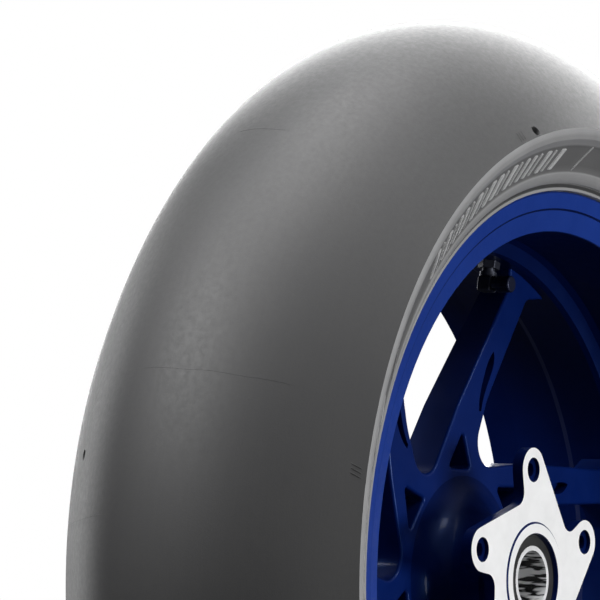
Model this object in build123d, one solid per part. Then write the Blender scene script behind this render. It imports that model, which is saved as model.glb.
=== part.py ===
from build123d import *
import math
import os

os.makedirs("parts", exist_ok=True)

# Rear racing wheel with a slick tyre, in millimetres. The wheel spins about the Y axis,
# the brake disc side faces -Y and the sprocket side faces +Y. The origin is the point on
# the wheel's axis that lies on the tyre's mid plane. Sections are drawn as (radius, offset)
# pairs, where the offset is the distance from the mid plane towards the brake disc side.

# ---------------------------------------------------------------- driving dimensions
# tyre
TYRE_RADIUS = 336.0
TREAD_HALF_WIDTH = 98.0
TREAD_THICKNESS = 6.0
BELT_THICKNESS = 1.6
PLY_THICKNESS = 2.0
LINER_THICKNESS = 1.4
BELT_HALF_WIDTH = 88.0
BEAD_SEAT_RADIUS = 218.3
# rim
FLANGE_RADIUS = 232.0
DISC_FLANGE_OFFSET = 73.2
SPROCKET_FLANGE_OFFSET = -76.8
LIP_RADIUS = 207.9
WELL_RADIUS = 197.5
WELL_WALL = 4.0
# spokes
SPOKE_COUNT = 7
SPOKE_FACE = 9.5
SPOKE_BACK_AT_HUB = -17.0
SPOKE_BACK_AT_RIM = -9.5
SPOKE_EDGE_ROUND = 2.0
GROOVE_DEPTH = 7.0
WEB_RADIUS = 62.0
# disc flange star
STAR_FACE = 59.2
STAR_THICKNESS = 7.0
STAR_ARMS = 5
STAR_FIRST_ARM = 91.0
DISC_BOLT_RADIUS = 65.75
STAR_TIP_ROUND = 13.3
DISC_BOLT_HOLE = 4.25
DISC_COUNTERBORE = 7.4
DISC_COUNTERBORE_DEPTH = 2.5
BOSS_PROUD = 0.75
# bearings, 35 x 55 x 10
AXLE_RADIUS = 17.5
BEARING_RADIUS = 27.5
BEARING_WIDTH = 10.0
BALL_RADIUS = 3.0
BALL_PITCH = 22.75
BALL_COUNT = 15
BALL_PLAY = 0.05
DISC_BEARING_FACE = 57.5
HUB_BEARING_FACE = -24.0
CARRIER_BEARING_FACE = -42.0
# cush drive and sprocket carrier
CUSH_COUNT = 5
CUSH_FLOOR = -21.5
CUSH_MOUTH = -44.0
CUSH_RADIUS = 70.0
CUP_RADIUS = 78.0
VANE_THICKNESS = 8.0
CUSH_TWIST = 2.6
CARRIER_GAP = 1.0
SPROCKET_FACE = -52.0
SPROCKET_SPIGOT_RADIUS = 55.0
SPROCKET_BOLT_RADIUS = 65.0
SPROCKET_BOLT_HOLE = 5.25
# valve
VALVE_ANGLE = 77.0
VALVE_OFFSET = 3.0
VALVE_STEM = 4.0
VALVE_ELBOW_RADIUS = 183.0


# ---------------------------------------------------------------- helpers
def at(radius, offset):
    """A point of a section through the axis: X is the radius and Y runs along the axis."""
    return (radius, -offset)


def turned(edges):
    """A ring: the closed outline of edges turned about the wheel's axis."""
    return revolve(make_face(edges), axis=Axis.Y)


def turned_polygon(points):
    return turned(Polyline([at(*p) for p in points], close=True))


def tube(inner, outer, low, high):
    """A plain ring between two offsets."""
    return turned_polygon([(inner, low), (outer, low), (outer, high), (inner, high)])


def around(angle):
    """Turns a piece drawn at the top of the wheel to a polar angle, measured from +X to +Z."""
    return Rot(0, 90 - angle, 0)


def polar(radius, angle):
    """A point of the wheel's face, in X and Z."""
    return (radius * math.cos(math.radians(angle)), radius * math.sin(math.radians(angle)))


def plate(outline, offset, thickness):
    """A flat piece cut to an outline in X and Z, reaching inwards from its face at offset."""
    face = Plane(origin=(0, -offset, 0), x_dir=(1, 0, 0), z_dir=(0, -1, 0)) * outline
    return extrude(face, amount=-thickness)


def radial_wall(angle, inner, outer, half_thickness, low, high):
    """A flat wall standing radially between two offsets."""
    wall = Box(2 * half_thickness, high - low, outer - inner)
    return around(angle) * Pos(0, -(low + high) / 2, (inner + outer) / 2) * wall


def save(name, shape):
    shape.label = name
    export_step(shape, f"parts/{name}.step")


# ---------------------------------------------------------------- tyre
def crown_radius(offset):
    """The slick's outer radius at an offset: a round crown that falls off to its shoulders."""
    u = offset / 100
    return TYRE_RADIUS - 52.49 * u**2 - 40.0 * u**4 + 23.33 * u**6


def crown_point(offset, depth):
    """The point at a depth under the crown, measured square to its surface."""
    u = offset / 100
    slope = (-104.98 * u - 160.0 * u**3 + 139.98 * u**5) / 100
    length = math.hypot(1, slope)
    return (crown_radius(offset) - depth / length, offset + depth * slope / length)


def crown(depth, half_width):
    """The crown's curve at a depth, from the sprocket side to the disc side."""
    steps = 12
    offsets = [half_width * (2 * i / steps - 1) for i in range(steps + 1)]
    return Spline([at(*crown_point(offset, depth)) for offset in offsets])


BELT_TOP = TREAD_THICKNESS
BELT_BOTTOM = BELT_TOP + BELT_THICKNESS
PLY_BOTTOM = BELT_BOTTOM + PLY_THICKNESS
LINER_BOTTOM = PLY_BOTTOM + LINER_THICKNESS

# half sections of the wall, from the shoulder down, as (radius, offset)
TREAD_EDGE = (264.7, 97.6)
SHOULDER_OUTER = (266.6, 98.2)
SHOULDER_PLY = (266.5, 91.3)
SHOULDER_LINER = (266.0, 88.3)
SHOULDER_AIR = (265.5, 86.2)
WALL_FOOT = (232.6, 79.8)
FILLER_TIP = (253.0, 85.4)
CORE_TOP = 228.5
CORE_BOTTOM = 221.5
CORE_OUTER = 4.0
CORE_INNER = 11.0
PLY_END = 219.5
TOE = 16.4


def bead_points(flange):
    """Where the bead's layers run beside a rim flange at this distance from the mid plane."""
    return {
        "heel": (BEAD_SEAT_RADIUS + 0.1, flange),
        "over_flange": (WALL_FOOT[0], flange),
        "core_outer_top": (CORE_TOP, flange - CORE_OUTER),
        "core_outer_bottom": (CORE_BOTTOM, flange - CORE_OUTER),
        "core_inner_top": (CORE_TOP, flange - CORE_INNER),
        "core_inner_bottom": (CORE_BOTTOM, flange - CORE_INNER),
        "ply_outer_end": (PLY_END, flange - CORE_INNER),
        "ply_inner_top": (CORE_TOP, flange - 13.0),
        "ply_inner_end": (PLY_END, flange - 13.0),
        "liner_top": (CORE_TOP, flange - 14.6),
        "liner_foot": (217.4, flange - 13.0),
        "toe": (217.2, flange - TOE),
    }


def side(points, sign):
    """Points of the disc side's half section, mirrored for the sprocket side."""
    return [at(radius, sign * offset) for radius, offset in points]


def ply_line(b):
    """The line between the wall's rubber and the carcass ply, from the shoulder to the core."""
    return [SHOULDER_PLY, FILLER_TIP, (241.8, 77.5), b["core_inner_top"]]


def liner_line(b):
    return [SHOULDER_LINER, (251.2, 82.0), (241.5, 75.2), b["ply_inner_top"], b["ply_inner_end"]]


def air_line(b):
    return [SHOULDER_AIR, (251.0, 80.2), (242.0, 73.4), b["liner_top"], b["toe"]]


def band(depth_out, depth_in, outer_line, inner_line):
    """A layer that runs from bead to bead between two lines on each side and two crown curves."""
    disc, sprocket = bead_points(DISC_FLANGE_OFFSET), bead_points(-SPROCKET_FLANGE_OFFSET)
    edges = [crown(depth_out, BELT_HALF_WIDTH), crown(depth_in, BELT_HALF_WIDTH)]
    for bead, sign in ((disc, 1), (sprocket, -1)):
        outer_start = crown_point(BELT_HALF_WIDTH, depth_out)
        inner_start = crown_point(BELT_HALF_WIDTH, depth_in)
        outer = [outer_start] + outer_line(bead)
        inner = [inner_start] + inner_line(bead)
        edges.append(Polyline(side(outer + inner[::-1], sign)))
    return turned(edges)


def tread_rubber():
    inner_edge = crown_point(BELT_HALF_WIDTH, BELT_BOTTOM)
    belt_edge = crown_point(BELT_HALF_WIDTH, BELT_TOP)
    outer_edge = crown_point(TREAD_HALF_WIDTH, 0)
    rim_of_tread = [outer_edge, SHOULDER_OUTER, TREAD_EDGE, SHOULDER_PLY, inner_edge, belt_edge]
    edges = [crown(0, TREAD_HALF_WIDTH), crown(BELT_TOP, BELT_HALF_WIDTH)]
    edges += [Polyline(side(rim_of_tread, sign)) for sign in (1, -1)]
    return turned(edges)


def belt_ply():
    ends = [crown_point(BELT_HALF_WIDTH, BELT_TOP), crown_point(BELT_HALF_WIDTH, BELT_BOTTOM)]
    edges = [crown(BELT_TOP, BELT_HALF_WIDTH), crown(BELT_BOTTOM, BELT_HALF_WIDTH)]
    edges += [Polyline(side(ends, sign)) for sign in (1, -1)]
    return turned(edges)


def carcass_ply():
    return band(
        BELT_BOTTOM,
        PLY_BOTTOM,
        lambda b: ply_line(b) + [b["ply_outer_end"]],
        liner_line,
    )


def inner_liner():
    return band(
        PLY_BOTTOM,
        LINER_BOTTOM,
        lambda b: liner_line(b) + [b["liner_foot"]],
        air_line,
    )


def sidewall(flange, sign):
    """Sidewall and bead rubber: the outer face is a steep cone down to the rim's flange."""
    b = bead_points(flange)
    outline = [TREAD_EDGE, (250.0, 89.9), (240.0, 84.2), WALL_FOOT, b["over_flange"], b["heel"]]
    outline += [b["liner_foot"], b["ply_inner_end"], b["ply_outer_end"], b["core_inner_bottom"]]
    outline += [b["core_outer_bottom"], b["core_outer_top"], (241.3, 80.0)]
    outline += [FILLER_TIP, SHOULDER_PLY]
    return turned(Polyline(side(outline, sign), close=True))


def bead_filler(flange, sign):
    b = bead_points(flange)
    outline = [b["core_outer_top"], (241.3, 80.0), FILLER_TIP, (241.8, 77.5), b["core_inner_top"]]
    return turned(Polyline(side(outline, sign), close=True))


def bead_core(flange, sign):
    b = bead_points(flange)
    names = ("core_outer_top", "core_outer_bottom", "core_inner_bottom", "core_inner_top")
    return turned(Polyline(side([b[name] for name in names], sign), close=True))


# ---------------------------------------------------------------- one-piece forged wheel
def rim():
    """Barrel, well, bead seats, humps and both flanges."""
    d, s = DISC_FLANGE_OFFSET, SPROCKET_FLANGE_OFFSET
    seat, well = BEAD_SEAT_RADIUS, WELL_RADIUS + WELL_WALL
    tyre_side = [
        (FLANGE_RADIUS, d + 4.6), (FLANGE_RADIUS, d + 1.8), (229.4, d), (seat, d),
        (216.9, 57.5), (217.4, 55.0), (216.0, 52.5), (212.0, 47.0), (212.0, 26.0), (well, 14.0),
        (well, -16.0), (212.0, -28.0), (212.0, -50.0), (216.0, -56.0), (217.4, -58.5),
        (216.9, -61.0), (seat, s), (229.4, s), (FLANGE_RADIUS, s - 1.8), (FLANGE_RADIUS, s - 3.0),
    ]
    axle_side = [
        (230.6, -80.5), (LIP_RADIUS + 0.6, -80.5), (LIP_RADIUS, -79.8), (LIP_RADIUS, -60.0),
        (206.1, -23.0), (199.0, -20.0), (WELL_RADIUS, -16.0), (WELL_RADIUS, 15.0),
        (198.4, 18.8), (206.1, 21.6), (LIP_RADIUS, 26.0), (LIP_RADIUS, 72.2),
        (LIP_RADIUS + 0.6, 73.1), (221.4, 76.3), (221.8, 76.9), (229.9, 78.5), (231.0, 78.6),
    ]
    barrel = turned_polygon(tyre_side + axle_side)
    hole = Cylinder(VALVE_STEM + 0.1, 20)
    return barrel - around(VALVE_ANGLE) * Pos(0, -VALVE_OFFSET, WELL_RADIUS) * hole


def window_outline():
    """The gap between two neighbouring spokes, out to the barrel, in X and Z."""
    rim_leading, rim_trailing = 59.0, 21.1
    corners = [
        polar(WELL_RADIUS + 1, rim_leading),
        (80.5, 169.5),
        (31.5, 107.8),
        (10.0, 65.9),
        (78.5, 68.9),
        (173.5, 64.5),
        polar(WELL_RADIUS + 1, rim_trailing),
    ]
    sides = FilletPolyline(corners, radius=[9, 60, 15, 60, 9])
    middle = polar(WELL_RADIUS + 1, (rim_leading + rim_trailing) / 2)
    return make_face([sides, ThreePointArc(corners[-1], middle, corners[0])])


def gusset_outline():
    """The small three-cornered hole where a spoke forks towards the hub."""
    sides = Polyline([(1.5, 88.5), (-16.5, 66.8), (10.0, 65.6)], close=True)
    return fillet(make_face(sides).vertices(), 2.0)


def groove_outline():
    """The narrow curved groove milled into a spoke's near face beside its trailing edge."""
    inner = Spline([(38.5, 137.4), (32.4, 132.1), (25.2, 120.0), (20.6, 107.9), (20.3, 100.7)])
    outer = Spline([(22.7, 101.0), (26.4, 110.3), (33.4, 121.2), (38.5, 130.5), (38.5, 137.4)])
    return make_face([inner, Line((20.3, 100.7), (22.7, 101.0)), outer])


def spoke_wheel():
    """All spokes and their webs in one plate, from the hub out to the barrel."""
    ring = turned_polygon([
        (WEB_RADIUS, SPOKE_FACE),
        (WELL_RADIUS, SPOKE_FACE),
        (WELL_RADIUS, SPOKE_BACK_AT_RIM),
        (WEB_RADIUS, SPOKE_BACK_AT_HUB),
    ])
    pitch = 360 / SPOKE_COUNT
    through = SPOKE_FACE - SPOKE_BACK_AT_HUB + 2
    window = plate(window_outline(), SPOKE_FACE + 1, through)
    gusset = plate(gusset_outline(), SPOKE_FACE + 1, through)
    groove = plate(groove_outline(), SPOKE_FACE + 1, GROOVE_DEPTH + 1)
    for i in range(SPOKE_COUNT):
        ring -= Rot(0, -i * pitch, 0) * window
        ring -= Rot(0, -i * pitch, 0) * gusset
    window_edges = []
    for edge in ring.faces().filter_by(Axis.Y).edges():
        middle = edge @ 0.5
        if WEB_RADIUS + 1 < math.hypot(middle.X, middle.Z) < WELL_RADIUS - 1:
            window_edges.append(edge)
    ring = fillet(window_edges, SPOKE_EDGE_ROUND)
    for i in range(SPOKE_COUNT):
        ring -= Rot(0, -i * pitch, 0) * groove
    return ring


def star_outline():
    """Five-armed disc flange: a steep side on each arm, then a long straight to the next."""
    lean, straight = math.radians(8), 14.0
    reach = DISC_BOLT_RADIUS * math.cos(math.radians(72 - straight)) + STAR_TIP_ROUND
    edges = []
    for i in range(STAR_ARMS):
        arm = STAR_FIRST_ARM + 72 * i
        cx, cz = polar(DISC_BOLT_RADIUS, arm)

        def on_tip(angle, cx=cx, cz=cz):
            dx, dz = polar(STAR_TIP_ROUND, angle)
            return (cx + dx, cz + dz)

        steep_normal = arm + 90 + math.degrees(lean)
        start, end = on_tip(arm + straight - 72), on_tip(steep_normal)
        edges.append(ThreePointArc(start, on_tip(arm + 20), end))
        steep_reach = end[0] * polar(1, steep_normal)[0] + end[1] * polar(1, steep_normal)[1]
        corner = crossing(steep_normal, steep_reach, arm + straight, reach)
        dx, dz = polar(STAR_TIP_ROUND, arm + straight)
        nx, nz = polar(DISC_BOLT_RADIUS, arm + 72)
        edges.append(FilletPolyline([end, corner, (nx + dx, nz + dz)], radius=8.5))
    return make_face(edges)


def crossing(normal_a, reach_a, normal_b, reach_b):
    """Where two lines meet, each given by its normal's angle and its distance from the axis."""
    ax, az = polar(1, normal_a)
    bx, bz = polar(1, normal_b)
    det = ax * bz - az * bx
    return ((reach_a * bz - reach_b * az) / det, (reach_b * ax - reach_a * bx) / det)


def hub_body():
    """Hub tube, its flare into the spokes' web, and the cush drive's cup on the far side."""
    tube_end = at(38.0, 33.5)
    outer = [
        Polyline([at(34.7, STAR_FACE), at(46.0, STAR_FACE), at(46.0, 52.0), at(38.0, 42.0), tube_end]),
        ThreePointArc(tube_end, at(45.0, 16.5), at(WEB_RADIUS, SPOKE_FACE)),
        Polyline([at(WEB_RADIUS, SPOKE_FACE), at(WEB_RADIUS, SPOKE_BACK_AT_HUB), at(69.0, -17.4)]),
        ThreePointArc(at(69.0, -17.4), at(75.4, -20.0), at(CUP_RADIUS, -26.0)),
    ]
    hub_seat_inner = HUB_BEARING_FACE + BEARING_WIDTH
    disc_seat_inner = DISC_BEARING_FACE - BEARING_WIDTH
    inner = Polyline([
        at(CUP_RADIUS, -26.0), at(CUP_RADIUS, CUSH_MOUTH), at(CUSH_RADIUS, CUSH_MOUTH),
        at(CUSH_RADIUS, CUSH_FLOOR), at(34.0, CUSH_FLOOR), at(34.0, HUB_BEARING_FACE - 0.6),
        at(BEARING_RADIUS, HUB_BEARING_FACE - 0.6), at(BEARING_RADIUS, hub_seat_inner),
        at(24.5, hub_seat_inner), at(24.5, disc_seat_inner), at(BEARING_RADIUS, disc_seat_inner),
        at(BEARING_RADIUS, STAR_FACE + BOSS_PROUD - 0.4),
        at(BEARING_RADIUS + 0.4, STAR_FACE + BOSS_PROUD),
        at(33.5, STAR_FACE + BOSS_PROUD), at(34.7, STAR_FACE),
    ])
    return turned(outer + [inner])


def hub():
    body = hub_body()
    star = plate(star_outline(), STAR_FACE, STAR_THICKNESS)
    star -= tube(0, 40.0, 0, STAR_FACE + 1)
    body += star
    for i in range(STAR_ARMS):
        x, z = polar(DISC_BOLT_RADIUS, STAR_FIRST_ARM + 72 * i)
        turn = Pos(x, 0, z) * Rot(90, 0, 0)
        body -= Pos(0, -STAR_FACE + STAR_THICKNESS / 2, 0) * turn * Cylinder(DISC_BOLT_HOLE, 20)
        sunk = Cylinder(DISC_COUNTERBORE, 2 * DISC_COUNTERBORE_DEPTH)
        body -= Pos(0, -STAR_FACE, 0) * turn * sunk
    for i in range(CUSH_COUNT):
        angle = 360 / CUSH_COUNT * i
        high = CUSH_FLOOR + 0.5
        body += radial_wall(angle, 32.5, CUSH_RADIUS + 1, VANE_THICKNESS / 2, -40.0, high)
    return body - tube(20.0, 34.0, CUSH_MOUTH, HUB_BEARING_FACE - 0.6)


# ---------------------------------------------------------------- bearings
BEARING_SHOULDER = 20.3
SEAL_SEAT = 25.9
SEAL_THICKNESS = 0.9


def raceway(face):
    """The ring of air that the balls run in."""
    middle = face - BEARING_WIDTH / 2
    circle = Pos(BALL_PITCH, -middle) * Circle(BALL_RADIUS + BALL_PLAY)
    return revolve(circle, axis=Axis.Y)


def inner_race(face):
    return tube(AXLE_RADIUS, BEARING_SHOULDER, face - BEARING_WIDTH, face) - raceway(face)


def outer_race(face):
    back = face - BEARING_WIDTH
    ring = tube(25.0, BEARING_RADIUS, back, face) - raceway(face)
    ring -= tube(24.0, SEAL_SEAT, face - SEAL_THICKNESS, face + 1)
    ring -= tube(24.0, SEAL_SEAT, back - 1, back + SEAL_THICKNESS)
    return ring


def bearing_seals(face):
    back = face - BEARING_WIDTH
    gap = 0.08
    front_seal = tube(BEARING_SHOULDER + gap, SEAL_SEAT, face - SEAL_THICKNESS, face - 0.15)
    back_seal = tube(BEARING_SHOULDER + gap, SEAL_SEAT, back + 0.15, back + SEAL_THICKNESS)
    return Compound([front_seal, back_seal])


def ball_places(face):
    middle = face - BEARING_WIDTH / 2
    for i in range(BALL_COUNT):
        yield around(360 / BALL_COUNT * i) * Pos(0, -middle, BALL_PITCH)


def balls(face):
    return Compound([place * Sphere(BALL_RADIUS) for place in ball_places(face)])


def ball_cage(face):
    middle = face - BEARING_WIDTH / 2
    ring = tube(BALL_PITCH - 0.9, BALL_PITCH + 0.9, middle - 3.7, middle + 3.7)
    for place in ball_places(face):
        ring -= place * Cylinder(BALL_RADIUS + BALL_PLAY, 8)
    return ring


# ---------------------------------------------------------------- sprocket carrier
def vane_angles():
    return [360 / CUSH_COUNT * (i + 0.5) for i in range(CUSH_COUNT)]


def sprocket_carrier():
    plate_back = CUSH_MOUTH - CARRIER_GAP
    seat_inner = CARRIER_BEARING_FACE + BEARING_WIDTH
    body = turned_polygon([
        (24.5, seat_inner), (24.5, -29.0), (33.0, -29.0), (33.0, plate_back),
        (75.0, plate_back), (76.0, plate_back - 1), (76.0, SPROCKET_FACE + 1), (75.0, SPROCKET_FACE),
        (SPROCKET_SPIGOT_RADIUS, SPROCKET_FACE), (SPROCKET_SPIGOT_RADIUS, SPROCKET_FACE - 4),
        (50.0, SPROCKET_FACE - 4), (44.0, SPROCKET_FACE + 2), (34.0, SPROCKET_FACE + 2),
        (33.0, SPROCKET_FACE), (BEARING_RADIUS, SPROCKET_FACE), (BEARING_RADIUS, seat_inner),
    ])
    for angle in vane_angles():
        body += radial_wall(angle, 32.0, 68.0, VANE_THICKNESS / 2, plate_back - 1, CUSH_FLOOR - 4.5)
        x, z = polar(SPROCKET_BOLT_RADIUS, angle)
        body -= Pos(x, -plate_back, z) * Rot(90, 0, 0) * Cylinder(SPROCKET_BOLT_HOLE, 60)
    keep_clear = tube(10.0, 24.5, -60.0, 0) + tube(10.0, BEARING_RADIUS, -60.0, seat_inner)
    keep_clear += tube(10.0, 34.6, -28.0, 0)
    return body - keep_clear


def cush_rubbers():
    """Ten rubber blocks: each rib of the cup has one on either side, clear of the vanes' twist."""
    blocks = tube(36.0, 68.6, -40.0, CUSH_FLOOR - 1)
    for i in range(CUSH_COUNT):
        rib = 360 / CUSH_COUNT * i
        blocks -= radial_wall(rib, 20, 90, VANE_THICKNESS / 2, -60, 0)
    for angle in vane_angles():
        for twist in (-CUSH_TWIST, 0, CUSH_TWIST):
            blocks -= radial_wall(angle + twist, 20, 90, VANE_THICKNESS / 2 + 0.3, -60, 0)
    return blocks


# ---------------------------------------------------------------- tyre valve
def valve_place():
    return around(VALVE_ANGLE) * Pos(0, -VALVE_OFFSET, 0)


ARM_END = 13.0
ARM_RADIUS = 3.8
CORE_BORE = 2.6
HEAD_RADIUS = 8.0


def along_arm(radius, start, length):
    """A rod along the valve's arm, from a distance in front of the stem."""
    rod = Rot(90, 0, 0) * Cylinder(radius, length)
    return Pos(0, -start - length / 2, VALVE_ELBOW_RADIUS) * rod


def valve_stem():
    """Stem through the rim's well with a square elbow and an arm towards the disc side."""
    head_low = WELL_RADIUS + WELL_WALL + 1.7
    height = head_low - VALVE_ELBOW_RADIUS
    stem = Pos(0, 0, (VALVE_ELBOW_RADIUS + head_low) / 2) * Cylinder(VALVE_STEM, height)
    head = Pos(0, 0, head_low + 1.2) * Cylinder(HEAD_RADIUS, 2.4)
    elbow = Pos(0, 0, VALVE_ELBOW_RADIUS) * fillet(Box(9, 9, 9).edges(), 1.0)
    collar = Pos(0, 0, VALVE_ELBOW_RADIUS + 6) * Cylinder(5.4, 3)
    arm = along_arm(ARM_RADIUS, 0, ARM_END)
    body = stem + head + elbow + collar + arm
    return valve_place() * (body - along_arm(CORE_BORE, 5.0, ARM_END))


def valve_seal():
    bottom = WELL_RADIUS + WELL_WALL + 0.2
    washer = Cylinder(HEAD_RADIUS - 0.5, 1.5) - Cylinder(VALVE_STEM + 0.05, 3)
    return valve_place() * Pos(0, 0, bottom + 0.75) * washer


def valve_nut():
    height = 4.5
    nut = extrude(RegularPolygon(6.9, 6), height) - Pos(0, 0, height / 2) * Cylinder(VALVE_STEM + 0.05, 10)
    nut = nut & Pos(0, 0, height / 2) * Cylinder(6.7, 8)
    return valve_place() * Pos(0, 0, WELL_RADIUS - height - 0.3) * nut


def valve_core():
    body = along_arm(CORE_BORE, 6.5, 5.5) - along_arm(1.0, 0, 20)
    return valve_place() * body


def valve_pin():
    return valve_place() * along_arm(0.92, 7.5, 5.0)


def valve_cap():
    """Screw cap over the end of the arm, with a grooved grip."""
    start, length = 8.2, 9.5
    cap = along_arm(5.2, start, length) - along_arm(ARM_RADIUS + 0.08, start - 1, 7.2)
    cap = fillet(cap.faces().sort_by(Axis.Y)[0].edges(), 1.2)
    groove = Pos(0, -start - length / 2, 0) * Rot(90, 0, 0) * Cylinder(0.45, length - 3)
    for i in range(16):
        x, z = polar(5.3, 22.5 * i)
        cap -= Pos(x, 0, VALVE_ELBOW_RADIUS + z) * groove
    return valve_place() * cap


# ---------------------------------------------------------------- write every node
def write_tyre():
    save("tread_rubber", tread_rubber())
    save("belt_ply", belt_ply())
    save("carcass_ply", carcass_ply())
    save("inner_liner", inner_liner())
    sides = {"disc_side": (DISC_FLANGE_OFFSET, 1), "sprocket_side": (-SPROCKET_FLANGE_OFFSET, -1)}
    for name, (flange, sign) in sides.items():
        save(f"sidewall_{name}", sidewall(flange, sign))
        save(f"bead_core_{name}", bead_core(flange, sign))
        save(f"bead_filler_{name}", bead_filler(flange, sign))


def spoke_sector(turn):
    """The part of the wheel's face that belongs to one spoke: its edges pass through windows."""
    pitch = 360 / SPOKE_COUNT
    edge = [(92.0, 66.7), (150.0, 52.0), (WELL_RADIUS + 20, 40.0)]
    leading = [polar(radius, angle + turn) for radius, angle in edge]
    trailing = [polar(radius, angle + turn + pitch) for radius, angle in edge[::-1]]
    far = polar(WELL_RADIUS + 60, 40.0 + turn + pitch / 2)
    return make_face(Polyline([(0, 0), *leading, far, *trailing], close=True))


def write_wheel():
    save("rim", rim())
    save("hub", hub())
    spokes = spoke_wheel()
    depth = SPOKE_FACE - SPOKE_BACK_AT_HUB + 10
    for i in range(SPOKE_COUNT):
        sector = plate(spoke_sector(i * 360 / SPOKE_COUNT), SPOKE_FACE + 5, depth)
        save(f"spoke_{i + 1}", spokes & sector)


def write_bearings():
    faces = {
        "disc_bearing": DISC_BEARING_FACE,
        "hub_bearing": HUB_BEARING_FACE + BEARING_WIDTH,
        "carrier_bearing": CARRIER_BEARING_FACE + BEARING_WIDTH,
    }
    for name, face in faces.items():
        save(f"{name}_inner_race", inner_race(face))
        save(f"{name}_outer_race", outer_race(face))
        save(f"{name}_balls", balls(face))
        save(f"{name}_cage", ball_cage(face))
        save(f"{name}_seals", bearing_seals(face))
    disc_back = DISC_BEARING_FACE - BEARING_WIDTH
    hub_front = HUB_BEARING_FACE + BEARING_WIDTH
    save("centre_spacer", tube(AXLE_RADIUS, BEARING_SHOULDER, hub_front, disc_back))
    carrier_front = CARRIER_BEARING_FACE + BEARING_WIDTH
    save("carrier_spacer", tube(AXLE_RADIUS, BEARING_SHOULDER, carrier_front, HUB_BEARING_FACE))


def write_carrier():
    save("sprocket_carrier", sprocket_carrier())
    save("cush_rubbers", cush_rubbers())


def write_valve():
    save("valve_stem", valve_stem())
    save("valve_seal", valve_seal())
    save("valve_nut", valve_nut())
    save("valve_core", valve_core())
    save("valve_pin", valve_pin())
    save("valve_cap", valve_cap())


write_tyre()
write_wheel()
write_bearings()
write_carrier()
write_valve()
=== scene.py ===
import math

import bmesh
import bpy
import numpy as np
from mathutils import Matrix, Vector


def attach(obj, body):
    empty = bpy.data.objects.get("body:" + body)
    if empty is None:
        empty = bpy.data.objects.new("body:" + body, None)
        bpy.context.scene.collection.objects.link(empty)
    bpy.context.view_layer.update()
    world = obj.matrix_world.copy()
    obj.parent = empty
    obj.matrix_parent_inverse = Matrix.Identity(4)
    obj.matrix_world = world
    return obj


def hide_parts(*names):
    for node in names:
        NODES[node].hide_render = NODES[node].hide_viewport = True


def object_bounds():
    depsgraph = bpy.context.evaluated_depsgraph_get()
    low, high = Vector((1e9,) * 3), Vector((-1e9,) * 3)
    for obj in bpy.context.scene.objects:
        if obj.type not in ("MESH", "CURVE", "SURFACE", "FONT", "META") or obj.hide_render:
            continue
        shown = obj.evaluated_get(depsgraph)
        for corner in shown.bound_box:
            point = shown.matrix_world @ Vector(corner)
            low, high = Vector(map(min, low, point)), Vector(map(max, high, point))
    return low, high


# A slick racing tyre on its blue forged wheel. The wheel's axis is Y and the brake disc side
# faces -Y. Sections are (radius, offset) pairs in millimetres, where the offset is the distance
# from the tyre's mid plane towards the disc side. Angles run from +X to +Z.

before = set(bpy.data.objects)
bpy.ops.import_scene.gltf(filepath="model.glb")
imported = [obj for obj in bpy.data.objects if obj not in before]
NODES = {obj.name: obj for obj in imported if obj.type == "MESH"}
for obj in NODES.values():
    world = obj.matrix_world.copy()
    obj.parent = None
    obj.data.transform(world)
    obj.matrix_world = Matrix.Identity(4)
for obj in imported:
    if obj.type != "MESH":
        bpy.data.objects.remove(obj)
CAD_LOW, CAD_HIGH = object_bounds()

MM = 0.001

# the tread's crown, whose radius is a sum of powers of the offset, and the belt under it
TREAD_HALF_WIDTH = 98.0
CROWN_RADIUS = 336.0
CROWN_TERMS = {2: -52.49, 4: -40.0, 6: 23.33}
CROWN_SCALE = 100.0
BELT_DEPTH = 6.0
BELT_HALF_WIDTH = 88.0
BELT_EDGE_DROP = 1.6

# the tyre's side: its shoulder, the smooth line of its wall, and the direction square to that line
SHOULDER = (266.6, 98.2)
TREAD_EDGE = (264.7, 97.6)
SHOULDER_PLY = (266.5, 91.3)
WALL_LINE = [TREAD_EDGE, (259.1, 94.6), (250.0, 89.9), (242.7, 85.8), (236.7, 82.3), (232.6, 79.8)]
WALL_SQUARE = (-0.49, 0.87)
WALL_FACETS = 720
BAND_DEPTH = 1.05
BAND_RADIUS = 250.0

# offset of each bead's outer face, which sits against the rim's flange
FLANGES = {"disc": 73.2, "sprocket": 76.8}

# where the rim's lip paint begins, lighter as painted light, where painted shade runs along the lips'
# fine step, and where the disc flange's bare face begins
LIP_FACE = 71.8
LIP_CORNER = 208.2
LIP_STEP = 221.4
LIP_STEP_SHADE = 0.6
STAR_FACE = 59.2
STAR_FACE_MARGIN = 0.05

# wear-depth holes and embossed marks, as (offset, angle in degrees), for one half turn of the tyre
WEAR_HOLES = [(95.5, 103.4), (-67.2, 165.7)]
WEAR_MARKS = [(95.0, 107.0), (93.9, 165.8)]
WEAR_HOLE_RADIUS = 2.1
WEAR_HOLE_DEPTH = 3.6
WEAR_HOLE_REACH = 3.2
WEAR_HOLE_STRETCH = (0.75, 1.15)
WEAR_HOLE_EDGE = 0.35

# mould lines across the tread, as (first offset, last offset, angle in degrees)
MOULD_LINES = [
    (-20, 66, 158.2), (-20, 14, 128.6), (-82, -36, 172.7), (-60, 10, 98.2), (15, 70, 73.0),
    (-70, 30, 203.0), (-30, 60, 233.0), (-80, -10, 262.0), (0, 72, 291.0), (-66, 20, 322.0),
]

# the sidewall band's motif: plain slanted bars in sets, each set opened by one thin tall stroke
MOTIF_SETS = 6
MOTIF_BARS = [4.6, 1.7, 4.6, 1.7, 3.2, 3.2, 1.7, 4.6, 1.7, 4.6] * 2
MOTIF_GAP = 2.9
MOTIF_EXTRA_TURN = 0.55


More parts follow.
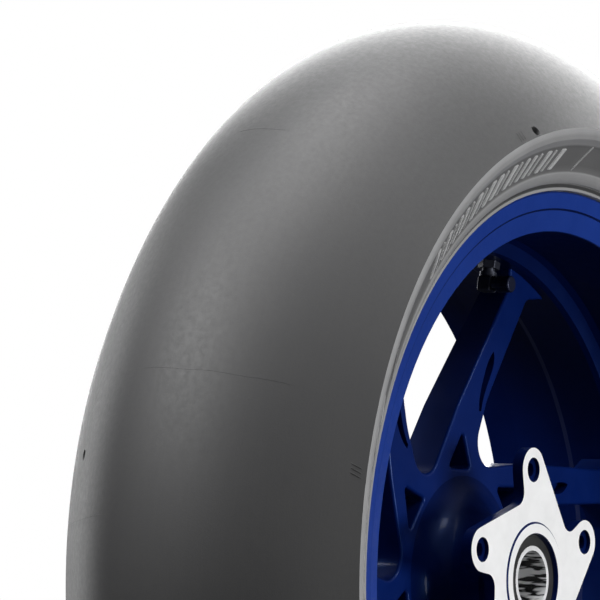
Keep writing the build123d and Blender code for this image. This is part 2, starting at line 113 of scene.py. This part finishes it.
# ---------------------------------------------------------------- mesh helpers
def place(radius, offset, angle):
    """Points in metres from radius, offset and angle, as one array."""
    radius, offset, angle = np.broadcast_arrays(radius, offset, angle)
    points = [radius * np.cos(angle), -offset, radius * np.sin(angle)]
    return np.stack(points, axis=-1).reshape(-1, 3) * MM


def grid_faces(rows, columns, first=0, closed=(False, False)):
    """Quads over a grid of vertices, wrapping round in the directions that are closed."""
    faces = []
    for i in range(rows if closed[0] else rows - 1):
        below, above = i * columns, (i + 1) % rows * columns
        for j in range(columns if closed[1] else columns - 1):
            k = (j + 1) % columns
            corners = (below + j, below + k, above + k, above + j)
            faces.append(tuple(first + corner for corner in corners))
    return faces


def piece(name, points, faces, material, body="wheel", sharp=35):
    """A mesh that rides on a body, smooth-shaded but for edges over an angle in degrees."""
    mesh = bpy.data.meshes.new(name)
    mesh.from_pydata(np.asarray(points).tolist(), [], faces)
    work = bmesh.new()
    work.from_mesh(mesh)
    bmesh.ops.recalc_face_normals(work, faces=work.faces)
    work.to_mesh(mesh)
    work.free()
    mesh.shade_smooth()
    mesh.set_sharp_from_angle(angle=math.radians(sharp))
    mesh.materials.append(material)
    obj = bpy.data.objects.new(name, mesh)
    bpy.context.scene.collection.objects.link(obj)
    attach(obj, body)
    return obj


# ---------------------------------------------------------------- tyre surfaces
def crown_radius(offset):
    """The tread's radius at an offset from its mid plane."""
    u = offset / CROWN_SCALE
    return CROWN_RADIUS + sum(size * u**power for power, size in CROWN_TERMS.items())


def crown_section(offset, depth):
    """Radius and offset of points at a depth under the crown, square to its surface."""
    u = offset / CROWN_SCALE
    slope = sum(power * size * u ** (power - 1) for power, size in CROWN_TERMS.items()) / CROWN_SCALE
    length = np.hypot(1, slope)
    return crown_radius(offset) - depth / length, offset + depth * slope / length


def wall_section(radius, height, sign):
    """Radius and offset of points at a height over the sidewall's smooth face."""
    line = np.array(WALL_LINE[::-1])
    offset = np.interp(radius, line[:, 0], line[:, 1])
    return radius + WALL_SQUARE[0] * height, sign * (offset + WALL_SQUARE[1] * height)


def spaced(low, high, step, details):
    """Values from low to high at a step, with more of them around each detail's place."""
    values = list(np.linspace(low, high, max(2, round((high - low) / step) + 1)))
    for centre, reach, count in details:
        values += list(centre + np.linspace(-reach, reach, count))
    values = np.unique(np.round(values, 6))
    return values[(values >= low - 1e-9) & (values <= high + 1e-9)]


def both_halves(places):
    """Places given as (offset, angle in degrees), and the same half a turn on."""
    return [(offset, angle + half) for half in (0.0, 180.0) for offset, angle in places]


def hole_depth(offset, angle):
    """How deep the tread is sunk at each point by the wear-depth holes."""
    depth = np.zeros_like(offset)
    for hole_offset, hole_angle in both_halves(WEAR_HOLES):
        along = (angle - math.radians(hole_angle)) * crown_radius(hole_offset)
        across = offset - hole_offset
        reach = np.hypot(along * WEAR_HOLE_STRETCH[0], across * WEAR_HOLE_STRETCH[1])
        inside = np.clip((WEAR_HOLE_RADIUS - reach) / WEAR_HOLE_EDGE + 0.5, 0, 1)
        depth += WEAR_HOLE_DEPTH * inside
    return depth


def tread():
    """The slick tread band: a round crown with its wear-depth holes sunk into it."""
    holes = both_halves(WEAR_HOLES)
    across = [(offset, WEAR_HOLE_REACH, 17) for offset, _ in holes]
    turns = [(math.radians(angle), WEAR_HOLE_REACH / crown_radius(at), 17) for at, angle in holes]
    offsets = spaced(-TREAD_HALF_WIDTH, TREAD_HALF_WIDTH, 2.0, across)
    angles = spaced(0, 2 * math.pi, math.radians(0.75), turns)[:-1]
    offset, angle = np.meshgrid(offsets, angles, indexing="ij")
    outer_radius, outer_offset = crown_section(offset, hole_depth(offset, angle))
    inner = np.linspace(BELT_HALF_WIDTH, -BELT_HALF_WIDTH, 45)
    inner_side = np.transpose(crown_section(inner, BELT_DEPTH)).tolist()
    disc_edge = [SHOULDER_PLY, crown_section(BELT_HALF_WIDTH, BELT_DEPTH + BELT_EDGE_DROP)]
    sprocket_edge = [(radius, -offset) for radius, offset in disc_edge[::-1]]
    rest = np.array(disc_edge + inner_side + sprocket_edge)
    around = np.ones(len(angles))
    radius = np.vstack([outer_radius, np.outer(rest[:, 0], around)])
    section = np.vstack([outer_offset, np.outer(rest[:, 1], around)])
    points = place(radius, section, angles[None, :])
    return points, grid_faces(len(radius), len(angles), closed=(True, True))


def wall_profile():
    """Radius and height of the sidewall's mouldings, from the tread edge to the rim flange."""
    return [
        (264.2, 0.0), (263.2, 0.25), (262.5, 0.25), (261.9, -0.35), (259.7, -0.45), (259.0, -1.0),
        (257.0, -BAND_DEPTH), (252.0, -BAND_DEPTH), (247.0, -BAND_DEPTH),
        (243.8, -1.0), (243.0, -0.1), (242.4, 0.1), (240.0, 0.15), (237.2, 0.1),
        (236.6, -0.3), (236.1, -1.5), (234.6, -1.6), (234.1, -0.4),
        (233.7, 0.3), (232.9, 0.5), (232.6, 0.2),
    ]


def sidewall(flange, sign):
    """A sidewall with its moulded rings, its recessed band and its bead."""
    face = [wall_section(radius, height, sign) for radius, height in wall_profile()]
    bead = [
        (232.4, flange + 2.2), (232.6, flange), (218.4, flange), (217.4, flange - 13.0),
        (219.5, flange - 13.0), (219.5, flange - 11.0), (221.5, flange - 11.0),
        (221.5, flange - 4.0), (228.5, flange - 4.0), (241.3, 80.0), (253.0, 85.4), SHOULDER_PLY,
    ]
    shoulder = [(crown_radius(TREAD_HALF_WIDTH), TREAD_HALF_WIDTH), SHOULDER, TREAD_EDGE]
    mirror = np.array([1, sign])
    section = np.vstack([np.array(shoulder) * mirror, face, np.array(bead) * mirror])
    angles = np.arange(WALL_FACETS) / WALL_FACETS * 2 * math.pi
    points = place(section[:, :1], section[:, 1:], angles[None, :])
    return points, grid_faces(len(section), len(angles), closed=(True, True))


def pad(surface, along, across, height, foot):
    """A low raised shape on a surface: a closed shell whose rim is sunk below it."""
    rows, columns = along.shape
    level = np.full((rows, columns), height)
    level[[0, -1], :] = -foot
    level[:, [0, -1]] = -foot
    top = surface(along, across, level)
    below = np.full((rows - 2, columns - 2), -2 * foot)
    bottom = surface(along[1:-1, 1:-1], across[1:-1, 1:-1], below)
    faces = grid_faces(rows, columns)
    first = rows * columns
    faces += [face[::-1] for face in grid_faces(rows - 2, columns - 2, first)]

    def low(i, j):
        """The bottom's vertex under, or nearest to, the top's vertex in row i and column j."""
        row, column = min(max(i - 1, 0), rows - 3), min(max(j - 1, 0), columns - 3)
        return first + row * (columns - 2) + column

    edge = [(0, j) for j in range(columns)]
    edge += [(i, columns - 1) for i in range(1, rows)]
    edge += [(rows - 1, j) for j in range(columns - 2, -1, -1)]
    edge += [(i, 0) for i in range(rows - 2, 0, -1)]
    for (i, j), (k, m) in zip(edge, edge[1:] + edge[:1]):
        ring = [i * columns + j, low(i, j), low(k, m), k * columns + m]
        faces.append(tuple(dict.fromkeys(ring)))
    return np.vstack([top, bottom]), faces


def joined(shapes):
    """Points and faces of several shapes as one."""
    points, faces, count = [], [], 0
    for shape_points, shape_faces in shapes:
        points.append(shape_points)
        faces += [tuple(v + count for v in face) for face in shape_faces]
        count += len(shape_points)
    return np.vstack(points), faces


def slanted_bar(sign, start, width, low, high, lean, height):
    """A slanted raised bar in the sidewall's band; start and lean are angles in degrees."""
    rise = np.array([0, 0.03, 0.15, 0.35, 0.5, 0.65, 0.85, 0.97, 1.0])
    share = np.array([0, 0.12, 0.35, 0.65, 0.88, 1.0])
    up, over = np.meshgrid(rise, share, indexing="ij")
    radius = low + (high - low) * up
    turn = np.radians(start - lean * up) + (over - 0.5) * width / BAND_RADIUS
    if sign < 0:
        turn = math.pi - turn

    def surface(r, angle, level):
        section_radius, section_offset = wall_section(r, level - BAND_DEPTH, sign)
        return place(section_radius, section_offset, angle)

    return pad(surface, radius, turn, height, 0.2)


def motif(sign):
    """One sidewall's bars and strokes."""
    shapes = []
    for turn in range(MOTIF_SETS):
        begin = 90.0 + 360.0 / MOTIF_SETS * turn
        shapes.append(slanted_bar(sign, begin + 1.0, 0.8, 243.9, 258.6, lean=3.4, height=0.75))
        where = begin + 7.5
        for width in MOTIF_BARS:
            shapes.append(slanted_bar(sign, where, width, 245.4, 257.0, lean=2.4, height=0.8))
            where += math.degrees((width + MOTIF_GAP) / BAND_RADIUS) + MOTIF_EXTRA_TURN
    return joined(shapes)


def crown_strip(offsets, angles, height):
    """A thin raised line or bar on the tread, over a grid of offsets and angles in degrees."""
    def surface(offset, angle, level):
        radius, section = crown_section(offset, -level)
        return place(radius, section, angle)

    return pad(surface, offsets, np.radians(angles), height, 0.12)


def mould_lines():
    """Faint lines that the mould's segments leave across the tread."""
    shapes = []
    share = np.linspace(-0.5, 0.5, 5)
    for low, high, angle in MOULD_LINES:
        along, across = np.meshgrid(np.linspace(low, high, 40), share, indexing="ij")
        sway = 0.12 * np.sin(along / 19.0) + 0.05 * np.sin(along / 5.3)
        shapes.append(crown_strip(along, angle + sway + across * 0.075, 0.07))
    return joined(shapes)


def wear_marks():
    """Three short slanted strokes at each of the embossed marks near the tread's edge."""
    shapes = []
    along, across = np.meshgrid(np.linspace(-2.3, 2.3, 7), np.linspace(-0.5, 0.5, 5), indexing="ij")
    for offset, angle in both_halves(WEAR_MARKS):
        for shift in (-0.55, 0.0, 0.55):
            turn = angle + shift + across * 0.16 + along * 0.10
            shapes.append(crown_strip(np.minimum(offset + along, TREAD_HALF_WIDTH - 0.2), turn, 0.3))
    return joined(shapes)


# ---------------------------------------------------------------- materials
class Finish:
    """A node material under construction, with coordinates fixed to the object."""

    def __init__(self, name):
        self.material = bpy.data.materials.new(name)
        self.material.use_nodes = True
        self.tree = self.material.node_tree
        self.tree.nodes.clear()
        self.output = self.add("ShaderNodeOutputMaterial")
        self.object = self.add("ShaderNodeTexCoord").outputs["Object"]
        self.normal = None

    def add(self, kind, inputs=(), **settings):
        """A node with its settings, and its inputs given as sockets to link or as values."""
        node = self.tree.nodes.new(kind)
        for key, value in settings.items():
            setattr(node, key, value)
        for socket, value in dict(inputs).items():
            if isinstance(value, bpy.types.NodeSocket):
                self.tree.links.new(value, node.inputs[socket])
            else:
                node.inputs[socket].default_value = value
        return node

    def math(self, operation, first, second=0.0):
        return self.add("ShaderNodeMath", {0: first, 1: second}, operation=operation).outputs[0]

    def noise(self, scale, detail=4.0, roughness=0.55, vector=None, distortion=0.0):
        inputs = {
            "Vector": vector or self.object, "Scale": scale, "Detail": detail,
            "Roughness": roughness, "Distortion": distortion,
        }
        return self.add("ShaderNodeTexNoise", inputs).outputs["Fac"]

    def ramp(self, value, stops):
        """A colour ramp over stops of (position, grey or colour)."""
        node = self.add("ShaderNodeValToRGB", {"Fac": value})
        elements = node.color_ramp.elements
        elements[0].position, elements[1].position = stops[0][0], stops[-1][0]
        for position, _ in stops[1:-1]:
            elements.new(position)
        for element, (_, tone) in zip(elements, stops):
            colour = tone if isinstance(tone, tuple) else (tone, tone, tone)
            element.color = (*colour, 1.0)
        return node.outputs["Color"]

    def span(self, value, low, high, from_low=0.3, from_high=0.7):
        """A value's range stretched to another, and held at its ends."""
        source = {"Value": value, "From Min": from_low, "From Max": from_high}
        target = {"To Min": low, "To Max": high}
        return self.add("ShaderNodeMapRange", source | target).outputs["Result"]

    def mixed_colour(self, factor, first, second, blend="MIX"):
        inputs = {0: factor, 6: first, 7: second}
        return self.add("ShaderNodeMix", inputs, data_type="RGBA", blend_type=blend).outputs[2]

    def mixed_shader(self, factor, first, second):
        return self.add("ShaderNodeMixShader", {0: factor, 1: first, 2: second}).outputs[0]

    def axes(self, vector=None):
        """The X, Y and Z parts of a vector, or of the place on the object."""
        return self.add("ShaderNodeSeparateXYZ", {"Vector": vector or self.object}).outputs

    def radius(self):
        """Distance from the wheel's axis, in metres."""
        x, _, z = self.axes()
        squares = self.math("ADD", self.math("MULTIPLY", x, x), self.math("MULTIPLY", z, z))
        return self.math("SQRT", squares)

    def round_coordinates(self, radial, angular, axial):
        """A vector of radius, angle and place along the axle, each scaled."""
        x, y, z = self.axes()
        radius = self.math("MULTIPLY", self.radius(), radial)
        angle = self.math("MULTIPLY", self.math("ARCTAN2", z, x), angular)
        along = self.math("MULTIPLY", y, axial)
        return self.add("ShaderNodeCombineXYZ", {"X": radius, "Y": angle, "Z": along}).outputs["Vector"]

    def end_faces(self):
        """1 on faces that are square to the wheel's axis, and 0 elsewhere."""
        facing = self.axes(self.add("ShaderNodeNewGeometry").outputs["True Normal"])[1]
        return self.math("GREATER_THAN", self.math("ABSOLUTE", facing), 0.9)

    def bump(self, height, distance, strength):
        """Adds a height, over the bumps that are there already, to the finish's normal."""
        inputs = {"Height": height, "Distance": distance, "Strength": strength}
        if self.normal is not None:
            inputs["Normal"] = self.normal
        self.normal = self.add("ShaderNodeBump", inputs).outputs["Normal"]

    def shader(self, **inputs):
        named = {key.replace("_", " "): value for key, value in inputs.items()}
        if self.normal is not None:
            named["Normal"] = self.normal
        return self.add("ShaderNodeBsdfPrincipled", named).outputs["BSDF"]

    def done(self, shader):
        self.tree.links.new(shader, self.output.inputs["Surface"])
        return self.material


def slick_rubber():
    """Matt tread rubber, faintly scrubbed along the direction of travel."""
    f = Finish("slick_rubber")
    scrub = f.noise(1.0, 5.0, 0.6, f.round_coordinates(600, 9, 600))
    cloud = f.noise(14.0, 6.0, 0.6)
    tone = f.math("ADD", f.math("MULTIPLY", cloud, 0.6), f.math("MULTIPLY", scrub, 0.4))
    colour = f.ramp(tone, [(0.3, (0.0215, 0.0215, 0.0222)), (0.72, (0.0255, 0.0252, 0.0255))])
    f.bump(f.noise(900.0, 6.0, 0.7), 0.00012, 0.5)
    f.bump(scrub, 0.00006, 0.5)
    rough = f.span(f.noise(300.0, 5.0, 0.6), 0.54, 0.64)
    return f.done(f.shader(Base_Color=colour, Roughness=rough, Specular_IOR_Level=0.4))


# how light the sidewall's rubber is at each radius: lighter rings, a darker sunk band, and painted
# shade in the groove beside the rim
WALL_RINGS = [
    # the 0.07 stops are painted shade in the groove beside the rim
    (232.0, 0.31), (234.2, 0.31), (234.5, 0.07), (236.4, 0.07), (236.8, 0.30),
    (243.0, 0.30), (244.0, 0.125), (258.6, 0.125), (259.7, 0.30), (270.0, 0.30),
]


def mottle(f):
    """Uneven tone for moulded rubber: soft clouds and fine rings."""
    rings = f.noise(1.0, 3.0, 0.5, f.round_coordinates(2600, 3, 900))
    cloud = f.noise(30.0, 5.0, 0.65)
    f.bump(f.noise(1400.0, 5.0, 0.7), 0.00010, 0.5)
    f.bump(rings, 0.00009, 0.6)
    return f.math("ADD", f.math("MULTIPLY", cloud, 0.6), f.math("MULTIPLY", rings, 0.4))


def wall_rubber():
    """Sidewall rubber, darker in its sunk band, with painted shade darkening the groove beside the rim.
    """
    f = Finish("sidewall_rubber")
    tone = mottle(f)
    low, high = WALL_RINGS[0][0], WALL_RINGS[-1][0]
    stops = [((radius - low) / (high - low), (grey, grey, grey * 1.01)) for radius, grey in WALL_RINGS]
    ring = f.ramp(f.span(f.radius(), 0.0, 1.0, low * MM, high * MM), stops)
    colour = f.mixed_colour(1.0, ring, f.ramp(tone, [(0.34, 0.84), (0.66, 1.0)]), "MULTIPLY")
    rough = f.span(tone, 0.42, 0.58)
    return f.done(f.shader(Base_Color=colour, Roughness=rough, Specular_IOR_Level=0.45))


def bar_rubber():
    """Paler raised rubber with fine radial knurling."""
    f = Finish("sidewall_bar_rubber")
    tone = mottle(f)
    colour = f.ramp(tone, [(0.34, (0.42, 0.42, 0.422)), (0.66, (0.58, 0.58, 0.582))])
    coordinates = f.round_coordinates(0, 900, 0)
    wave = f.add("ShaderNodeTexWave", {"Vector": coordinates, "Scale": 1.0}, bands_direction="Y")
    f.bump(wave.outputs["Fac"], 0.00012, 0.5)
    rough = f.span(tone, 0.40, 0.55)
    return f.done(f.shader(Base_Color=colour, Roughness=rough, Specular_IOR_Level=0.45))


# the paint's own tone; a darker copy that is painted shade on the rim's barrel and the hub; a lighter
# copy that is painted light on the rim's lips
DEEP_BLUE = ((0.0014, 0.0092, 0.082), (0.0020, 0.0128, 0.108))
PAINTED_SHADE_BLUE = ((0.0007, 0.0050, 0.048), (0.0011, 0.0072, 0.064))
PAINTED_LIGHT_LIP_BLUE = ((0.0080, 0.0320, 0.215), (0.0110, 0.0400, 0.255))


def blue_shader(f, deep, bright, shine=0.3):
    """Gloss blue paint between a deep and a bright tone, with a blue shine and a thin clear coat."""
    colour = f.ramp(f.noise(22.0, 4.0, 0.6), [(0.3, deep), (0.7, bright)])
    f.bump(f.noise(420.0, 3.0, 0.5), 0.00004, 0.35)
    rough = f.span(f.noise(140.0, 4.0, 0.6), 0.30, 0.42)
    return f.shader(
        Base_Color=colour, Roughness=rough, Specular_IOR_Level=shine,
        Specular_Tint=(0.12, 0.32, 1.0, 1.0), Coat_Weight=0.06, Coat_Roughness=0.1, Coat_IOR=1.45,
    )


def blue_paint():
    f = Finish("blue_paint")
    return f.done(blue_shader(f, *DEEP_BLUE))


def rim_paint():
    """Blue paint: a darker copy as painted shade over the barrel, a lighter copy as painted light on
    the turned faces of the rim's two lips, and painted shade along their fine step.
    """
    f = Finish("rim_paint")
    # the barrel's darker blue is painted shade
    barrel_painted_shade = blue_shader(f, *PAINTED_SHADE_BLUE, 0.2)
    # the lips' lighter blue is painted light
    lip_painted_light = blue_shader(f, *PAINTED_LIGHT_LIP_BLUE)
    along, radius = f.axes()[1], f.radius()
    outer = f.math("GREATER_THAN", f.math("ABSOLUTE", along), LIP_FACE * MM)
    beyond = f.math("GREATER_THAN", radius, LIP_CORNER * MM)
    # painted shade: the darker barrel paint runs along the lips' fine step
    step = f.math("ABSOLUTE", f.math("SUBTRACT", radius, LIP_STEP * MM))
    clear = f.math("GREATER_THAN", step, LIP_STEP_SHADE * MM)
    face = f.math("MULTIPLY", f.math("MULTIPLY", outer, beyond), clear)
    return f.done(f.mixed_shader(face, barrel_painted_shade, lip_painted_light))


def hub_finish():
    """Blue paint in its darker copy, which is painted shade, and bare machined metal on the disc
    flange's outer faces.
    """
    f = Finish("hub_paint_and_machined_face")
    # the hub's darker blue is painted shade
    paint = blue_shader(f, *PAINTED_SHADE_BLUE, 0.15)
    f.normal = None
    lathe = f.noise(1.0, 3.0, 0.6, f.round_coordinates(5200, 2.0, 0))
    f.bump(lathe, 0.00003, 0.5)
    colour = f.ramp(f.noise(60.0, 4.0, 0.6), [(0.3, (0.86, 0.86, 0.86)), (0.7, (0.94, 0.94, 0.94))])
    rough = f.span(lathe, 0.42, 0.55)
    metal = f.shader(Base_Color=colour, Metallic=0.15, Roughness=rough, Specular_IOR_Level=0.4)
    outer = f.math("LESS_THAN", f.axes()[1], -(STAR_FACE - STAR_FACE_MARGIN) * MM)
    return f.done(f.mixed_shader(f.math("MULTIPLY", outer, f.end_faces()), paint, metal))


def polished_bore(name):
    """Polished steel with long soft waves in its surface, and bright and black streaks painted along
    the bore as painted reflections.
    """
    f = Finish(name)
    streak = f.noise(1.0, 2.0, 0.5, f.round_coordinates(0, 6.5, 55.0), distortion=0.3)
    # the black, grey and bright tones are painted reflections streaked along the bore
    black, grey, bright = (0.01, 0.01, 0.011), (0.55, 0.55, 0.56), (0.98, 0.98, 0.98)
    painted_reflections = f.ramp(streak, [(0.44, black), (0.48, grey), (0.53, bright)])
    even = f.ramp(f.noise(90.0, 4.0, 0.6), [(0.3, (0.70, 0.70, 0.71)), (0.7, (0.86, 0.86, 0.87))])
    colour = f.mixed_colour(f.end_faces(), painted_reflections, even)
    f.bump(streak, 0.0006, 0.4)
    rough = f.span(f.noise(600.0, 3.0, 0.5), 0.16, 0.24)
    return f.done(f.shader(Base_Color=colour, Metallic=0.05, Roughness=rough))


def turned_metal(name, dark, light, rough, metallic, lines):
    """Metal turned on a lathe, with a count of fine lines to the metre."""
    f = Finish(name)
    lathe = f.noise(1.0, 3.0, 0.6, f.round_coordinates(lines, 3.0, lines))
    colour = f.ramp(f.noise(90.0, 4.0, 0.6), [(0.3, dark), (0.7, light)])
    f.bump(lathe, 0.00003, 0.6)
    roughness = f.span(lathe, rough * 0.85, rough * 1.2)
    return f.done(f.shader(Base_Color=colour, Metallic=metallic, Roughness=roughness))


def moulded(name, dark, light, rough, grain=800.0):
    """Moulded rubber or plastic with a fine grain."""
    f = Finish(name)
    colour = f.ramp(f.noise(80.0, 5.0, 0.65), [(0.3, dark), (0.7, light)])
    f.bump(f.noise(grain, 5.0, 0.7), 0.00008, 0.6)
    roughness = f.span(f.noise(150.0), rough - 0.07, rough + 0.07)
    return f.done(f.shader(Base_Color=colour, Roughness=roughness))


def cord(name, dark, light, spacing, lean):
    """Rubbered cord: fine parallel ribs wound across the tyre."""
    f = Finish(name)
    coordinates = f.round_coordinates(0, spacing, spacing * lean)
    inputs = {"Vector": coordinates, "Scale": 1.0, "Distortion": 0.4}
    wave = f.add("ShaderNodeTexWave", inputs, bands_direction="DIAGONAL")
    colour = f.ramp(wave.outputs["Fac"], [(0.2, dark), (0.8, light)])
    f.bump(wave.outputs["Fac"], 0.0003, 0.8)
    return f.done(f.shader(Base_Color=colour, Roughness=f.span(f.noise(300.0), 0.55, 0.75)))


def dress(material, *names):
    """Gives CAD nodes their finish."""
    for name in names:
        mesh = NODES[name].data
        mesh.materials.clear()
        mesh.materials.append(material)


# ---------------------------------------------------------------- the object
TREAD_RUBBER = slick_rubber()
WALL_RUBBER = wall_rubber()
BAR_RUBBER = bar_rubber()

tread_band = piece("slick_tread", *tread(), TREAD_RUBBER, sharp=50)
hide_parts("tread_rubber")
for label, shapes in (("tread_mould_lines", mould_lines()), ("tread_wear_marks", wear_marks())):
    piece(label, *shapes, TREAD_RUBBER)
for label, sign in (("disc", 1), ("sprocket", -1)):
    wall = piece(f"{label}_side_wall", *sidewall(FLANGES[label], sign), WALL_RUBBER, sharp=50)
    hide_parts(f"sidewall_{label}_side")
    bars = piece(f"{label}_side_wall_bars", *motif(sign), BAR_RUBBER)

dress(rim_paint(), "rim")
dress(blue_paint(), *[f"spoke_{i}" for i in range(1, 8)])
dress(hub_finish(), "hub")
dress(cord("belt_cord", (0.10, 0.085, 0.04), (0.38, 0.32, 0.17), 380, 0.15), "belt_ply")
dress(cord("carcass_cord", (0.05, 0.042, 0.038), (0.15, 0.125, 0.11), 300, 6.0), "carcass_ply")
dress(moulded("liner_rubber", (0.022, 0.022, 0.022), (0.036, 0.036, 0.036), 0.5), "inner_liner")
dress(
    cord("bead_wire", (0.16, 0.13, 0.09), (0.60, 0.54, 0.42), 14, 260),
    "bead_core_disc_side", "bead_core_sprocket_side",
)
dress(
    moulded("filler_rubber", (0.03, 0.03, 0.031), (0.048, 0.047, 0.046), 0.6),
    "bead_filler_disc_side", "bead_filler_sprocket_side",
)
BORE_STEEL = polished_bore("bearing_bore_steel")
BEARING_STEEL = turned_metal("bearing_steel", (0.52, 0.52, 0.53), (0.66, 0.66, 0.67), 0.16, 1.0, 3000)
BALL_STEEL = turned_metal("ball_steel", (0.60, 0.60, 0.62), (0.72, 0.72, 0.73), 0.10, 1.0, 900)
SEAL_RUBBER = moulded("seal_rubber", (0.014, 0.014, 0.015), (0.030, 0.030, 0.031), 0.42, 1400.0)
CAGE = moulded("cage_plastic", (0.11, 0.085, 0.055), (0.19, 0.15, 0.10), 0.45)
for bearing in ("disc", "hub", "carrier"):
    dress(BORE_STEEL, f"{bearing}_bearing_inner_race")
    dress(BEARING_STEEL, f"{bearing}_bearing_outer_race")
    dress(BALL_STEEL, f"{bearing}_bearing_balls")
    dress(CAGE, f"{bearing}_bearing_cage")
    dress(SEAL_RUBBER, f"{bearing}_bearing_seals")
dress(BORE_STEEL, "centre_spacer", "carrier_spacer")
dress(
    turned_metal("carrier_alloy", (0.17, 0.17, 0.19), (0.27, 0.27, 0.29), 0.38, 0.9, 3200),
    "sprocket_carrier",
)
dress(moulded("cush_rubber", (0.028, 0.028, 0.028), (0.046, 0.045, 0.044), 0.7, 500.0), "cush_rubbers")
dress(
    turned_metal("valve_alloy", (0.030, 0.034, 0.050), (0.060, 0.066, 0.090), 0.38, 0.6, 4000),
    "valve_stem", "valve_nut",
)
dress(moulded("valve_seal_rubber", (0.02, 0.02, 0.02), (0.034, 0.034, 0.034), 0.6), "valve_seal")
dress(
    turned_metal("valve_brass", (0.50, 0.36, 0.14), (0.72, 0.55, 0.26), 0.26, 1.0, 4000),
    "valve_core", "valve_pin",
)
dress(
    turned_metal("cap_alloy", (0.010, 0.014, 0.040), (0.018, 0.024, 0.060), 0.4, 0.5, 4000),
    "valve_cap",
)


# ---------------------------------------------------------------- studio
def floor():
    """A plain pale floor disc under the tyre."""
    rings = np.array([0.0, 0.3, 0.5, 0.7, 0.9]) + 0.001
    angles = np.arange(96) / 96 * 2 * math.pi
    radius, angle = np.meshgrid(rings, angles, indexing="ij")
    level = np.full_like(radius, CAD_LOW.z - 0.0004)
    points = np.stack([radius * np.cos(angle), radius * np.sin(angle), level], axis=-1)
    mesh = bpy.data.meshes.new("floor")
    faces = grid_faces(len(rings), len(angles), closed=(False, True))
    mesh.from_pydata(points.reshape(-1, 3).tolist(), [], faces)
    f = Finish("pale_floor")
    colour = f.ramp(f.noise(2.0, 3.0), [(0.3, 0.78), (0.7, 0.82)])
    mesh.materials.append(f.done(f.shader(Base_Color=colour, Roughness=f.span(f.noise(6.0), 0.7, 0.8))))
    obj = bpy.data.objects.new("floor", mesh)
    obj.visible_diffuse = False
    obj.visible_glossy = False
    bpy.context.scene.collection.objects.link(obj)


def turned_to(start, aim):
    """The rotation of a light or camera that looks from one point at another."""
    return (Vector(aim) - Vector(start)).to_track_quat("-Z", "Y")


def softbox(name, start, aim, size, power):
    """A rectangular light, with its size in metres and its power in watts."""
    light = bpy.data.lights.new(name, "AREA")
    light.shape = "RECTANGLE"
    light.size, light.size_y = size
    light.energy = power
    obj = bpy.data.objects.new(name, light)
    obj.location = start
    obj.visible_camera = False
    obj.rotation_mode = "QUATERNION"
    obj.rotation_quaternion = turned_to(start, aim)
    bpy.context.scene.collection.objects.link(obj)


def studio_world():
    """Pure white behind the object, and a soft dim surround for light and reflections."""
    world = bpy.data.worlds.new("studio")
    bpy.context.scene.world = world
    world.use_nodes = True
    tree = world.node_tree
    tree.nodes.clear()
    seen = tree.nodes.new("ShaderNodeLightPath")
    behind = tree.nodes.new("ShaderNodeBackground")
    behind.inputs["Color"].default_value = (1.0, 1.0, 1.0, 1.0)
    behind.inputs["Strength"].default_value = 1.0
    around = tree.nodes.new("ShaderNodeBackground")
    around.inputs["Color"].default_value = (0.95, 0.97, 1.0, 1.0)
    direction = tree.nodes.new("ShaderNodeTexCoord")
    parts = tree.nodes.new("ShaderNodeSeparateXYZ")
    rise = tree.nodes.new("ShaderNodeMapRange")
    rise.interpolation_type = "SMOOTHSTEP"
    for socket, value in (("From Min", -0.1), ("From Max", 0.9), ("To Min", 0.04), ("To Max", 0.55)):
        rise.inputs[socket].default_value = value
    tree.links.new(direction.outputs["Generated"], parts.inputs[0])
    tree.links.new(parts.outputs[2], rise.inputs["Value"])
    tree.links.new(rise.outputs["Result"], around.inputs["Strength"])
    mix = tree.nodes.new("ShaderNodeMixShader")
    out = tree.nodes.new("ShaderNodeOutputWorld")
    tree.links.new(seen.outputs["Is Camera Ray"], mix.inputs[0])
    tree.links.new(around.outputs[0], mix.inputs[1])
    tree.links.new(behind.outputs[0], mix.inputs[2])
    tree.links.new(mix.outputs[0], out.inputs["Surface"])


floor()
studio_world()
softbox("overhead", (0.0, -0.1, 2.2), (0.0, 0.0, 0.1), (2.0, 1.4), 80.0)
softbox("backdrop", (3.0, 1.3, 1.25), (0.0, 0.0, 0.1), (3.0, 2.6), 340.0)
softbox("rear", (0.5, 2.2, 0.35), (-0.2, 0.0, 0.1), (0.5, 1.6), 21.0)
softbox("top_left", (-1.4, 0.7, 1.5), (0.0, 0.0, 0.25), (0.8, 0.8), 46.0)
softbox("left_high", (-1.9, 0.0, 1.3), (0.0, 0.0, 0.2), (0.8, 0.8), 14.0)
softbox("key", (0.5, -1.9, 1.95), (0.0, 0.0, 0.0), (0.6, 0.6), 14.0)
softbox("front", (0.4, -2.5, -0.1), (0.0, 0.0, 0.0), (1.2, 0.6), 40.0)

CAMERA_PLACE = (-3.00371, -1.73265, 0.09478)
CAMERA_AIM = (-0.04105, 0.08036, 0.16823)
camera = bpy.data.objects.new("camera", bpy.data.cameras.new("camera"))
camera.data.lens = 344.2
camera.data.sensor_width = 36.0
camera.data.clip_start, camera.data.clip_end = 0.1, 100.0
camera.location = CAMERA_PLACE
camera.rotation_mode = "QUATERNION"
camera.rotation_quaternion = turned_to(CAMERA_PLACE, CAMERA_AIM)
bpy.context.scene.collection.objects.link(camera)
bpy.context.scene.camera = camera
bpy.context.scene.view_settings.view_transform = "Standard"
